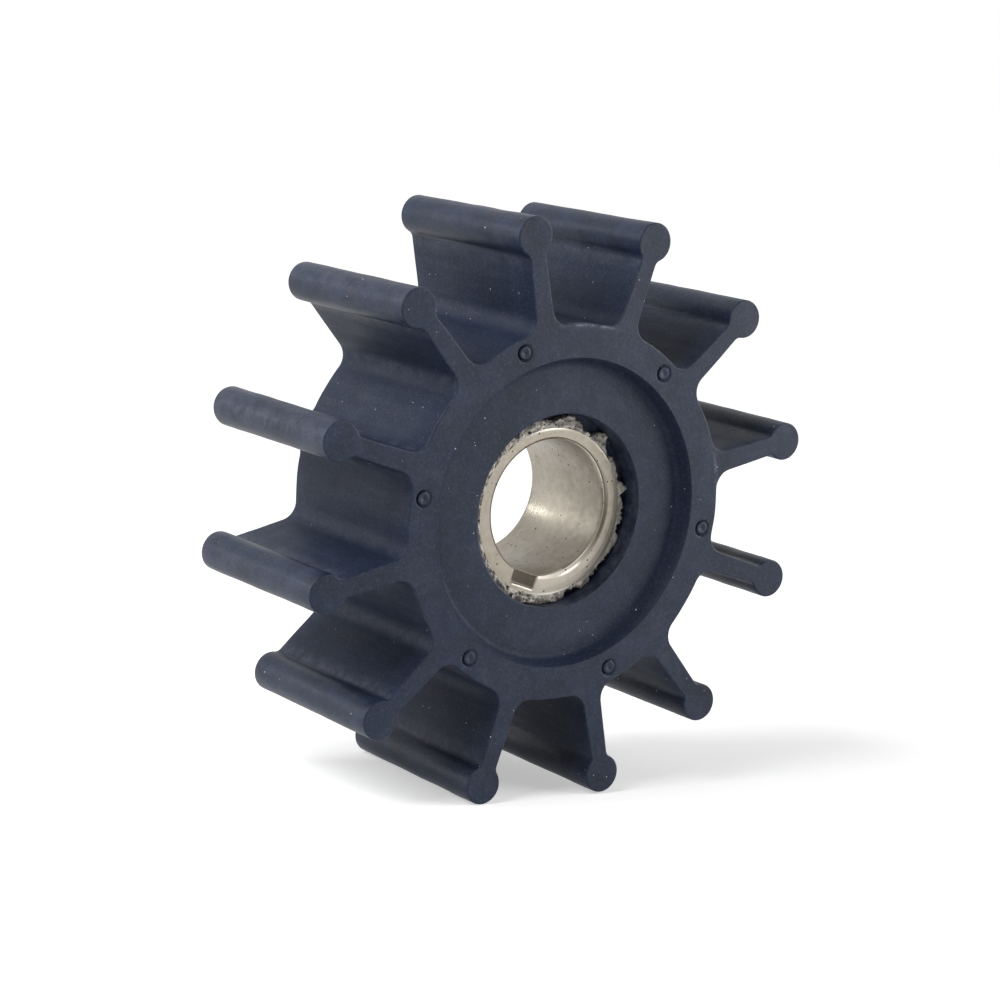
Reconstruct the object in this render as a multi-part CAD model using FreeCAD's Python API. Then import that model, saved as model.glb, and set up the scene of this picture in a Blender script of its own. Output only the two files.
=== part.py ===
import FreeCAD, Part
import math
import os

# Flexible pump impeller: twelve straight rubber vanes with round tips, moulded as one piece with their
# hub around a keyed metal bushing.
# Millimetres. The shaft axis lies along Y, the front face looks towards -Y, and +Z is up as the impeller
# stands on two vane tips. The origin is on the shaft axis, halfway between the two hub faces.
# A clock angle is read from the front: degrees from +Z, growing towards +X.

# Hub
HUB_DIAMETER = 51.8
WIDTH = 28.575
RIM_WIDTH = 4.5

# Vanes
VANE_COUNT = 12
FIRST_VANE_CLOCK = -15.0
VANE_LENGTH = 15.375
BULB_DIAMETER = 5.4
ROOT_THICKNESS = 3.0
NECK_THICKNESS = 2.6
ROOT_FILLET = 2.5
NECK_FILLET = 1.2
# Three lower vanes have taken a set and stand off their even places by these angles.
VANE_SET = {6: 1.0, 7: -0.9, 8: -0.5}

# Dish in each hub face, with an eased shoulder, a drafted wall and a hollow foot
DISH_DEPTH = 2.1
DISH_SHOULDER = 0.2
DISH_DRAFT = 20.0
DISH_FOOT = 0.8

# Well around each end of the bushing, sunk below the dish
WELL_GAP = 1.9
WELL_EDGE = 0.3
WELL_BELOW_BUSHING = 1.4

# Ring grooves that the mould's pins left around the front face
MARK_COUNT = 6
FIRST_MARK_CLOCK = 35.7
MARK_INSET = 2.0
MARK_DIAMETER = 2.5
MARK_GROOVE = 0.45
MARK_DEPTH = 0.35

# Bushing for a three-quarter inch shaft and a five-thirty-second inch key
BORE_DIAMETER = 19.05
BUSHING_WALL = 2.225
FRONT_SETBACK = 4.6
REAR_SETBACK = 6.5
BUSHING_EDGE = 0.4
KEY_WIDTH = 3.96875
KEYWAY_DEPTH = 1.75
KEYWAY_CLOCK = 196.4
KEYWAY_FLARE = 0.45
# The bushing's outside is turned off centre, so its wall is thickest on one side.
OFF_CENTRE = 0.68
OFF_CENTRE_CLOCK = 151.0
# Each end has a flat land around the bore, and falls away beyond it.
LAND_WIDTH = 1.8
LAND_FALL = 0.4
# The bore's bevel is shallow and cut off centre, so it is broad on one side and narrow on the other.
BEVEL_WIDTH = 0.5
BEVEL_DEPTH = 0.3
BEVEL_OFF_CENTRE = 0.35
BEVEL_CLOCK = 115.0
# Film of bonding agent between the bushing and the rubber
BOND_FILM = 0.02

# Flash of bonding compound squeezed up around the front end of the bushing
FLASH_WIDTH = 0.4
FLASH_RIPPLE = 0.1
FLASH_RIPPLES = 37
FLASH_BELOW_END = 0.1
FLASH_CLEARANCE = 0.1
FLASH_CHIPS = 120
# Lumps of the flash: clock angle, height and half width in degrees
FLASH_LUMPS = (
    (0, 1.0, 15), (38, 1.4, 5), (57, 0.5, 9), (76, 1.0, 4),
    (92, 0.4, 9), (111, 0.9, 4), (144, 0.9, 5), (186, 0.9, 22),
)

# Worked out from the sizes above
HUB_RADIUS = HUB_DIAMETER / 2
TIP_RADIUS = HUB_RADIUS + VANE_LENGTH
VANE_PITCH = 360.0 / VANE_COUNT
BULB_RADIUS = BULB_DIAMETER / 2
BULB_CENTRE = TIP_RADIUS - BULB_RADIUS
DISH_RADIUS = HUB_RADIUS - RIM_WIDTH
MARK_RADIUS = MARK_DIAMETER / 2
BORE_RADIUS = BORE_DIAMETER / 2
BUSHING_RADIUS = BORE_RADIUS + BUSHING_WALL
SEAT_RADIUS = BUSHING_RADIUS + BOND_FILM
WELL_RADIUS = BUSHING_RADIUS + WELL_GAP
FRONT_FACE = -WIDTH / 2
REAR_FACE = WIDTH / 2
BUSHING_FRONT = FRONT_FACE + FRONT_SETBACK
BUSHING_REAR = REAR_FACE - REAR_SETBACK
ORIGIN = FreeCAD.Vector(0, 0, 0)
SHAFT_AXIS = FreeCAD.Vector(0, 1, 0)


def at_clock(clock, radius, y=0.0):
    """Point at a clock angle and a radius from the shaft axis."""
    turn = math.radians(clock)
    return FreeCAD.Vector(radius * math.sin(turn), y, radius * math.cos(turn))


def arc_about(centre, start, end):
    """Arc of less than half a turn from start to end about its centre."""
    towards_middle = (start - centre) + (end - centre)
    middle = centre + towards_middle.normalize() * (start - centre).Length
    return Part.Arc(start, middle, end).toShape()


def line(start, end):
    return Part.LineSegment(start, end).toShape()


# Impeller body

def fillet_centre(flank, direction, side, fillet, centre, radius, outward):
    """Centre of a fillet between a flank line and a circle, on the flank's outer side.

    The centre lies one fillet radius off the line and off the circle. Outward picks the crossing
    that is further along the line, and otherwise the nearer one.
    """
    start = flank + side * fillet - centre
    along = start.dot(direction)
    reach = math.sqrt(along ** 2 - start.Length ** 2 + (radius + fillet) ** 2)
    step = -along + reach if outward else -along - reach
    return centre + start + direction * step


def vane_side(clock, hand):
    """One side of a vane, from the hub to its round tip, as the three points and two centres it needs.

    Hand is 1 for the side that faces larger clock angles and -1 for the other.
    """
    out = at_clock(clock, 1.0)
    across = at_clock(clock + 90, hand)
    root = out * HUB_RADIUS + across * ROOT_THICKNESS / 2
    neck = out * (TIP_RADIUS - BULB_DIAMETER) + across * NECK_THICKNESS / 2
    bulb = out * BULB_CENTRE
    direction = (neck - root).normalize()
    side = (across - direction * across.dot(direction)).normalize()
    root_centre = fillet_centre(root, direction, side, ROOT_FILLET, ORIGIN, HUB_RADIUS, True)
    neck_centre = fillet_centre(root, direction, side, NECK_FILLET, bulb, BULB_RADIUS, False)
    return {
        "hub": root_centre * (HUB_RADIUS / (HUB_RADIUS + ROOT_FILLET)),
        "root_centre": root_centre,
        "flank_foot": root_centre - side * ROOT_FILLET,
        "flank_top": neck_centre - side * NECK_FILLET,
        "neck_centre": neck_centre,
        "bulb": bulb + (neck_centre - bulb) * (BULB_RADIUS / (BULB_RADIUS + NECK_FILLET)),
    }


def vane_clock(number):
    """Clock angle of a vane, counted from 1, with the set that it has taken."""
    return FIRST_VANE_CLOCK + VANE_PITCH * (number - 1) + VANE_SET.get(number, 0.0)


def vane_outline(clock):
    """Edges of one vane from the hub, around its bulb and back to the hub."""
    rise = vane_side(clock, -1)
    fall = vane_side(clock, 1)
    tip = at_clock(clock, TIP_RADIUS)
    return [
        arc_about(rise["root_centre"], rise["hub"], rise["flank_foot"]),
        line(rise["flank_foot"], rise["flank_top"]),
        arc_about(rise["neck_centre"], rise["flank_top"], rise["bulb"]),
        Part.Arc(rise["bulb"], tip, fall["bulb"]).toShape(),
        arc_about(fall["neck_centre"], fall["bulb"], fall["flank_top"]),
        line(fall["flank_top"], fall["flank_foot"]),
        arc_about(fall["root_centre"], fall["flank_foot"], fall["hub"]),
    ]


def vaned_blank():
    """Hub and vanes as one extruded section, before its faces are hollowed."""
    edges = []
    for number in range(1, VANE_COUNT + 1):
        clock = vane_clock(number)
        following = vane_clock(number % VANE_COUNT + 1)
        edges += vane_outline(clock)
        hub_start = vane_side(clock, 1)["hub"]
        hub_end = vane_side(following, -1)["hub"]
        edges.append(arc_about(ORIGIN, hub_start, hub_end))
    section = Part.Face(Part.Wire(edges))
    section.translate(FreeCAD.Vector(0, FRONT_FACE, 0))
    return section.extrude(SHAFT_AXIS * WIDTH)


def face_hollow(setback):
    """Revolved tool for one hub face: the dish with its drafted wall, and the well around the bushing.

    The profile is drawn for a hub face at y = 0 with the rubber towards +Y.
    """
    def at(radius, depth):
        return FreeCAD.Vector(radius, depth, 0)

    draft = math.radians(DISH_DRAFT)
    wall_top = at(DISH_RADIUS - DISH_SHOULDER, DISH_SHOULDER)
    foot_height = DISH_FOOT * (1 - math.sin(draft))
    wall_reach = (DISH_DEPTH - foot_height - DISH_SHOULDER) * math.tan(draft)
    wall_foot = at(wall_top.x - wall_reach, DISH_DEPTH - foot_height)
    foot_centre = at(wall_foot.x - DISH_FOOT * math.cos(draft), DISH_DEPTH - DISH_FOOT)
    floor_edge = at(foot_centre.x, DISH_DEPTH)
    above = -DISH_DEPTH
    well_floor = setback + WELL_BELOW_BUSHING
    outer = Part.makePolygon([at(0, above), at(DISH_RADIUS, above), at(DISH_RADIUS, 0), wall_top, wall_foot])
    inner = Part.makePolygon([
        floor_edge,
        at(WELL_RADIUS + WELL_EDGE, DISH_DEPTH),
        at(WELL_RADIUS, DISH_DEPTH + WELL_EDGE),
        at(WELL_RADIUS, well_floor),
        at(0, well_floor),
        at(0, above),
    ])
    profile = Part.Wire([*outer.Edges, arc_about(foot_centre, wall_foot, floor_edge), *inner.Edges])
    return Part.Face(profile).revolve(ORIGIN, SHAFT_AXIS, 360)


def bushing_centre(y):
    """Centre of the bushing's outside at a place along the shaft."""
    return at_clock(OFF_CENTRE_CLOCK, OFF_CENTRE, y)


def bushing_cylinder(radius, start, end):
    """Round bar or bore on the axis of the bushing's outside, between two places along the shaft."""
    return Part.makeCylinder(radius, end - start, bushing_centre(start), SHAFT_AXIS)


def mould_marks():
    """Ring grooves for the front face."""
    rings = []
    for number in range(MARK_COUNT):
        clock = FIRST_MARK_CLOCK + 360.0 / MARK_COUNT * number
        centre = at_clock(clock, HUB_RADIUS - MARK_INSET, FRONT_FACE)
        pin = Part.makeCylinder(MARK_RADIUS, MARK_DEPTH, centre, SHAFT_AXIS)
        rings.append(pin.cut(Part.makeCylinder(MARK_RADIUS - MARK_GROOVE, MARK_DEPTH, centre, SHAFT_AXIS)))
    return rings


def impeller_body():
    """Rubber hub and vanes, with a dished face at each end and a seat for the bushing."""
    front_hollow = face_hollow(FRONT_SETBACK)
    front_hollow.translate(FreeCAD.Vector(0, FRONT_FACE, 0))
    rear_hollow = face_hollow(REAR_SETBACK)
    rear_hollow.rotate(ORIGIN, FreeCAD.Vector(0, 0, 1), 180)
    rear_hollow.translate(FreeCAD.Vector(0, REAR_FACE, 0))
    seat = bushing_cylinder(SEAT_RADIUS, FRONT_FACE, REAR_FACE)
    return vaned_blank().cut([front_hollow, rear_hollow, seat, *mould_marks()])


# Bushing

def circles_of(shape, radius):
    """Circular edges of one radius."""
    near = Part.Precision.confusion()
    return [
        edge for edge in shape.Edges
        if isinstance(edge.Curve, Part.Circle) and abs(edge.Curve.Radius - radius) < near
    ]


def end_cutters(y, inward):
    """Tools that bevel the bore and slope the rim of the bushing's end at y, with the metal inward of it."""
    bevel_centre = at_clock(BEVEL_CLOCK, BEVEL_OFF_CENTRE, y)
    bevel = Part.makeCone(
        BORE_RADIUS + BEVEL_WIDTH, BORE_RADIUS - BEVEL_WIDTH, BEVEL_DEPTH, bevel_centre, inward
    )
    centre = SHAFT_AXIS * y
    past_rim = BUSHING_RADIUS + OFF_CENTRE + BUSHING_EDGE
    rim = Part.makeCylinder(past_rim, LAND_FALL, centre, inward)
    land = Part.makeCone(BORE_RADIUS + LAND_WIDTH, past_rim, LAND_FALL, centre, inward)
    return [bevel, rim.cut(land)]


def keyway_cutter():
    """Tool for the keyway: a straight slot whose walls flare out at both ends of the bushing."""
    wall = KEY_WIDTH / 2
    mouth = wall + KEYWAY_FLARE
    plan = [
        (mouth, BUSHING_FRONT), (wall, BUSHING_FRONT + KEYWAY_FLARE),
        (wall, BUSHING_REAR - KEYWAY_FLARE), (mouth, BUSHING_REAR),
    ]
    corners = plan + [(-across, y) for across, y in reversed(plan)]
    slot = Part.Face(Part.makePolygon([FreeCAD.Vector(across, y, 0) for across, y in corners], True))
    slot = slot.extrude(at_clock(0, BORE_RADIUS + KEYWAY_DEPTH))
    slot.rotate(ORIGIN, SHAFT_AXIS, KEYWAY_CLOCK)
    return slot


def drive_bushing():
    """Metal sleeve with faced ends and a keyway along the whole bore."""
    sleeve = bushing_cylinder(BUSHING_RADIUS, BUSHING_FRONT, BUSHING_REAR)
    sleeve = sleeve.makeChamfer(BUSHING_EDGE, circles_of(sleeve, BUSHING_RADIUS))
    bore = Part.makeCylinder(
        BORE_RADIUS, BUSHING_REAR - BUSHING_FRONT, SHAFT_AXIS * BUSHING_FRONT, SHAFT_AXIS
    )
    ends = end_cutters(BUSHING_FRONT, SHAFT_AXIS) + end_cutters(BUSHING_REAR, SHAFT_AXIS * -1)
    return sleeve.cut([bore, *ends]).cut(keyway_cutter())


# Flash around the bushing

def flash_reach(clock):
    """Radius of the ragged outer edge of the flash from the bushing's own centre."""
    ripple = FLASH_RIPPLE * math.sin(math.radians(FLASH_RIPPLES * clock))
    lumps = 0.0
    for place, height, half_width in FLASH_LUMPS:
        offset = (clock - place + 180) % 360 - 180
        lumps += height * math.exp(-(offset / half_width) ** 2)
    well_wall = WELL_RADIUS - OFF_CENTRE * math.cos(math.radians(clock - OFF_CENTRE_CLOCK))
    return min(BUSHING_RADIUS + FLASH_WIDTH + ripple + lumps, well_wall - FLASH_CLEARANCE)


def bond_flash():
    """Ring of bonding compound, chipped off in short straight breaks, in the well around the bushing."""
    floor = BUSHING_FRONT + WELL_BELOW_BUSHING
    top = BUSHING_FRONT + FLASH_BELOW_END
    step = 360.0 / FLASH_CHIPS
    corners = [bushing_centre(top) + at_clock(step * i, flash_reach(step * i)) for i in range(FLASH_CHIPS)]
    disc = Part.Face(Part.makePolygon(corners, True)).extrude(SHAFT_AXIS * (floor - top))
    return disc.cut(bushing_cylinder(SEAT_RADIUS, top, floor))


def write_parts():
    """Write each piece to its own STEP file."""
    os.makedirs("parts", exist_ok=True)
    pieces = {
        "impeller_body": impeller_body(),
        "drive_bushing": drive_bushing(),
        "bond_flash": bond_flash(),
    }
    for name, shape in pieces.items():
        shape.exportStep(os.path.join("parts", name + ".step"))


write_parts()
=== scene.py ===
"""Looks of a flexible pump impeller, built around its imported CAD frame.

Twelve straight, round-tipped rubber vanes stand on a dished rubber hub, moulded in one piece around a
turned metal bushing with a keyway. A ragged crust of bonding compound shows around the bushing's front end.

Sizes in this file are millimetres and the finished meshes are metres, in the frame's own axes: the shaft
runs along Y, the front face looks towards -Y and +Z is up. A clock angle is read from the front, in degrees
from +Z towards +X.
"""

import logging
import math
from dataclasses import dataclass, field
from enum import Enum
from typing import Any, Callable

import bmesh
import bpy
import numpy as np
from mathutils import Matrix, Vector


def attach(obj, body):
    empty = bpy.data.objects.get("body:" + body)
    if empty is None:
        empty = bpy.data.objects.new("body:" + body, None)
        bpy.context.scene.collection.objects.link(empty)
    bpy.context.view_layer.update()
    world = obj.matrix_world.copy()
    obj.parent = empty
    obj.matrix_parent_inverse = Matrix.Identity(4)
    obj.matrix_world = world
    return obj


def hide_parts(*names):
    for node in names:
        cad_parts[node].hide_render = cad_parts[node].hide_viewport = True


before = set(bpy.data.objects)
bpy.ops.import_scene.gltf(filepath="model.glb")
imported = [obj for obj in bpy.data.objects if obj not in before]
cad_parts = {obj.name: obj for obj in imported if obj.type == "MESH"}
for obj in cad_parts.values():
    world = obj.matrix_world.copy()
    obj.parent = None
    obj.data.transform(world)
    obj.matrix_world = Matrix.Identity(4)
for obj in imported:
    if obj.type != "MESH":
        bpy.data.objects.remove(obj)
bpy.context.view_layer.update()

MM = 0.001
WELD = 0.002
log = logging.getLogger("impeller")


class FinishSlot(Enum):
    """Material slots of the record that the pieces take their finish from."""

    RUBBER = "moulded_rubber"
    METAL = "bushing_metal"
    COMPOUND = "bond_compound"


class End(Enum):
    """The two hub faces, by the way that each one looks along the shaft."""

    FRONT = -1
    REAR = 1


# Points and arcs


def on_clock(clock: np.ndarray, radius: np.ndarray, y: np.ndarray) -> np.ndarray:
    """Puts points round the shaft axis.

    The formula is x = radius times sine of the clock angle, z = radius times its cosine.

    Args:
        clock: Clock angles in degrees.
        radius: Distances from the shaft axis.
        y: Places along the shaft.

    Returns:
        Points with x, y and z in the last axis, in the common shape of the three inputs.
    """
    turn = np.radians(clock)
    return np.stack(np.broadcast_arrays(radius * np.sin(turn), y, radius * np.cos(turn)), axis=-1)


def off_line(along: np.ndarray, across: np.ndarray, clock: np.ndarray) -> tuple[np.ndarray, np.ndarray]:
    """Turns places along and across a radial line at a clock angle into x and z.

    The formula is x = along times sine plus across times cosine of the clock angle, and z = along times
    cosine less across times sine.

    Args:
        along: Distances from the shaft axis along the line.
        across: Distances from the line, towards larger clock angles.
        clock: Clock angles of the lines in degrees.

    Returns:
        The places in x, and those in z.
    """
    turn = np.radians(clock)
    return along * np.sin(turn) + across * np.cos(turn), along * np.cos(turn) - across * np.sin(turn)


def arc(
    centre: np.ndarray, start: np.ndarray, end: np.ndarray, steps: int
) -> tuple[np.ndarray, np.ndarray]:
    """Divides the shorter circular arc from start to end evenly by angle.

    A point is the centre plus the radius times the unit direction at its angle.

    Args:
        centre: Centre of the arc in the plane.
        start: First point, which gives the radius.
        end: Last point.
        steps: Number of equal steps.

    Returns:
        The points, and their unit directions from the centre.
    """
    spoke, last = start - centre, end - centre
    first = math.atan2(spoke[1], spoke[0])
    turn = (math.atan2(last[1], last[0]) - first + math.pi) % (2 * math.pi) - math.pi
    angle = first + turn * np.linspace(0, 1, steps + 1)
    direction = np.stack((np.cos(angle), np.sin(angle)), axis=-1)
    return centre + np.hypot(*spoke) * direction, direction


def unevenness(points: np.ndarray, wavelength: float, seed: int, waves: int = 28) -> np.ndarray:
    """Smooth random height with a spread of about one.

    The height is the sum of sine waves with random directions and phases, whose lengths lie between 0.7
    and 1.4 of the given one, divided by the root of half their number.

    Args:
        points: Points with x, y and z in the last axis.
        wavelength: Middle wavelength in the unit of the points.
        seed: Seed that makes each surface's waves its own and the same on each run.
        waves: Number of waves.

    Returns:
        One height for each point.
    """
    chance = np.random.default_rng(seed)
    direction = chance.normal(size=(3, waves))
    direction /= np.linalg.norm(direction, axis=0)
    pitch = wavelength * chance.uniform(0.7, 1.4, waves)
    phase = chance.uniform(0, 2 * np.pi, waves)
    return np.sin(points @ (direction * 2 * np.pi / pitch) + phase).sum(axis=-1) / math.sqrt(waves / 2)


def hump(place: np.ndarray, centre: float, half_width: float, power: int = 2) -> np.ndarray:
    """One at a place, falling as e to the minus a power of the way from it in half widths."""
    return np.exp(-((place - centre) / half_width) ** power)


def bell(clock: np.ndarray, centre: float, half_width: float, power: int = 2) -> np.ndarray:
    """The hump function round the clock, by the shorter way from the centre's clock angle."""
    return hump((clock - centre + 180) % 360 - 180, 0.0, half_width, power)


@dataclass(frozen=True)
class RingMark:
    """A mark along part of a circle round the shaft, which fades out across it and at both ends."""

    radius: float
    half_width: float
    clock: float
    half_angle: float
    strength: float = 1.0
    power_across: int = 2
    power_along: int = 4

    def amount(self, clock: np.ndarray, radius: np.ndarray) -> np.ndarray:
        """The strength times a hump across the circle times a bell along it."""
        across = hump(radius, self.radius, self.half_width, self.power_across)
        return self.strength * across * bell(clock, self.clock, self.half_angle, self.power_along)


def clock_and_radius(points: np.ndarray) -> tuple[np.ndarray, np.ndarray]:
    """Clock angles of points in degrees, and their distances from the shaft axis."""
    x, z = points[..., 0], points[..., 2]
    return np.degrees(np.arctan2(x, z)), np.hypot(x, z)


class Skin:
    """Grids of points that are welded into one closed mesh."""

    def __init__(self) -> None:
        """Starts with no grid."""
        self.points: list[np.ndarray] = []
        self.quads: list[np.ndarray] = []
        self.count = 0

    def add(self, grid: np.ndarray, closed: bool = False) -> None:
        """Adds one grid of quads.

        Args:
            grid: Points in rows and columns, with x, y and z in the last axis.
            closed: Whether the last column joins the first.
        """
        rows, columns = grid.shape[:2]
        index = np.arange(rows * columns).reshape(rows, columns) + self.count
        if closed:
            index = np.concatenate((index, index[:, :1]), axis=1)
        corners = (index[:-1, :-1], index[:-1, 1:], index[1:, 1:], index[1:, :-1])
        self.points.append(grid.reshape(-1, 3))
        self.quads.append(np.stack(corners, axis=-1).reshape(-1, 4))
        self.count += rows * columns

    def piece(self, name: str, crease: float) -> bpy.types.Object:
        """Welds the grids, turns their faces outwards and makes the object.

        Args:
            name: Name of the piece.
            crease: Angle in degrees above which an edge is drawn sharp.

        Returns:
            The object, at the origin, linked to the scene.
        """
        mesh = bpy.data.meshes.new(name)
        quads = np.concatenate(self.quads)
        mesh.vertices.add(self.count)
        mesh.vertices.foreach_set("co", (np.concatenate(self.points) * MM).ravel())
        mesh.loops.add(quads.size)
        mesh.loops.foreach_set("vertex_index", quads.ravel())
        mesh.polygons.add(len(quads))
        mesh.polygons.foreach_set("loop_start", np.arange(0, quads.size, 4))
        mesh.update(calc_edges=True)
        welded = bmesh.new()
        welded.from_mesh(mesh)
        bmesh.ops.remove_doubles(welded, verts=welded.verts[:], dist=WELD * MM)
        bmesh.ops.recalc_face_normals(welded, faces=welded.faces[:])
        open_edges = sum(len(edge.link_faces) != 2 for edge in welded.edges)
        welded.to_mesh(mesh)
        welded.free()
        mesh.shade_smooth()
        mesh.set_sharp_from_angle(angle=math.radians(crease))
        made = bpy.data.objects.new(name, mesh)
        bpy.context.scene.collection.objects.link(made)
        log.info("%s: %d faces, %d open edges", name, len(mesh.polygons), open_edges)
        return made


def marked(piece: bpy.types.Object, name: str, amount: Callable[[np.ndarray], np.ndarray]) -> None:
    """Stores on each vertex of a piece how strongly a pattern shows there, or where in the pattern it lies.

    Args:
        piece: Piece that gets the pattern.
        name: Name that its material reads.
        amount: Works the amounts, or places of three numbers, out from the vertices' places in
            millimetres.
    """
    mesh = piece.data
    places = np.empty(len(mesh.vertices) * 3)
    mesh.vertices.foreach_get("co", places)
    found = amount(places.reshape(-1, 3) / MM).astype(np.float32)
    kind, field_name = ("FLOAT_VECTOR", "vector") if found.ndim == 2 else ("FLOAT", "value")
    mesh.attributes.new(name, kind, "POINT").data.foreach_set(field_name, found.ravel())


# Node materials


def linear(code: str) -> tuple[float, float, float, float]:
    """Turns an sRGB hex colour to linear red, green, blue and an alpha of one."""
    levels = [int(code[i:i + 2], 16) / 255 for i in (1, 3, 5)]
    red, green, blue = (v / 12.92 if v <= 0.04045 else ((v + 0.055) / 1.055) ** 2.4 for v in levels)
    return red, green, blue, 1.0


def node(
    tree: bpy.types.NodeTree,
    kind: str,
    settings: dict[str, Any] | None = None,
    values: dict[Any, Any] | None = None,
    links: dict[Any, bpy.types.NodeSocket] | None = None,
) -> bpy.types.Node:
    """Adds a node with its settings, socket values and links.

    Args:
        tree: Node tree that gets the node.
        kind: Name of the node's type, without the leading ShaderNode.
        settings: The node's own properties.
        values: Values of its input sockets, by name or number.
        links: Output sockets that feed its inputs, by name or number.

    Returns:
        The new node.
    """
    made = tree.nodes.new("ShaderNode" + kind)
    for name, value in (settings or {}).items():
        setattr(made, name, value)
    for name, value in (values or {}).items():
        made.inputs[name].default_value = value
    for name, source in (links or {}).items():
        tree.links.new(source, made.inputs[name])
    return made


def blended(tree: bpy.types.NodeTree, amount: Any, under: Any, over: Any) -> bpy.types.NodeSocket:
    """Lays one colour over another by an amount, each given as a socket or a linear colour."""
    sockets = {0: amount, 6: under, 7: over}
    is_link = {k: isinstance(v, bpy.types.NodeSocket) for k, v in sockets.items()}
    return node(
        tree, "Mix", {"data_type": "RGBA"},
        {k: v for k, v in sockets.items() if not is_link[k]},
        {k: v for k, v in sockets.items() if is_link[k]},
    ).outputs[2]


def tinted(
    tree: bpy.types.NodeTree, under: Any, colour: str, pattern: bpy.types.NodeSocket,
    start: float, full: float, cover: float = 1.0,
) -> bpy.types.NodeSocket:
    """Lays a colour over another one where a pattern is strong.

    Its amount grows evenly from zero where the pattern is at its start to the cover where it is full.

    Args:
        tree: Node tree that gets the nodes.
        under: The colour below, as a socket or a linear colour.
        colour: The sRGB hex colour that is laid over it.
        pattern: Levels of the pattern.
        start: Level at which the colour begins to show.
        full: Level from which it shows in full, which can lie below the start.
        cover: How much of the colour below it hides there.

    Returns:
        The colour of both.
    """
    amount = node(
        tree, "MapRange", {"clamp": True},
        {"From Min": start, "From Max": full, "To Min": 0.0, "To Max": cover}, {"Value": pattern},
    ).outputs["Result"]
    return blended(tree, amount, under, linear(colour))


def scattered_spots(
    tree: bpy.types.NodeTree, place: bpy.types.NodeSocket, spacing: float, radius: float, bare: float
) -> bpy.types.NodeSocket:
    """Round spots of random size, at most one in each cell of a random net.

    A cell's random number gives its spot's radius: none up to the bare share, then growing evenly to the
    given radius.

    Args:
        tree: Node tree that gets the nodes.
        place: Coordinates in metres.
        spacing: Width of a cell in millimetres.
        radius: Radius of the largest spot in millimetres.
        bare: Share of the cells that have no spot.

    Returns:
        One in the spots and zero outside them.
    """
    cells = node(tree, "TexVoronoi", {}, {"Scale": 1 / (spacing * MM), "Randomness": 1.0}, {"Vector": place})
    pick = node(tree, "SeparateColor", links={"Color": cells.outputs["Color"]})
    reach = node(
        tree, "MapRange", {"clamp": True},
        {"From Min": bare, "From Max": 1.0, "To Min": 0.0, "To Max": radius / spacing},
        {"Value": pick.outputs["Red"]},
    ).outputs["Result"]
    return node(
        tree, "Math", {"operation": "LESS_THAN"}, links={0: cells.outputs["Distance"], 1: reach}
    ).outputs["Value"]


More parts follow.
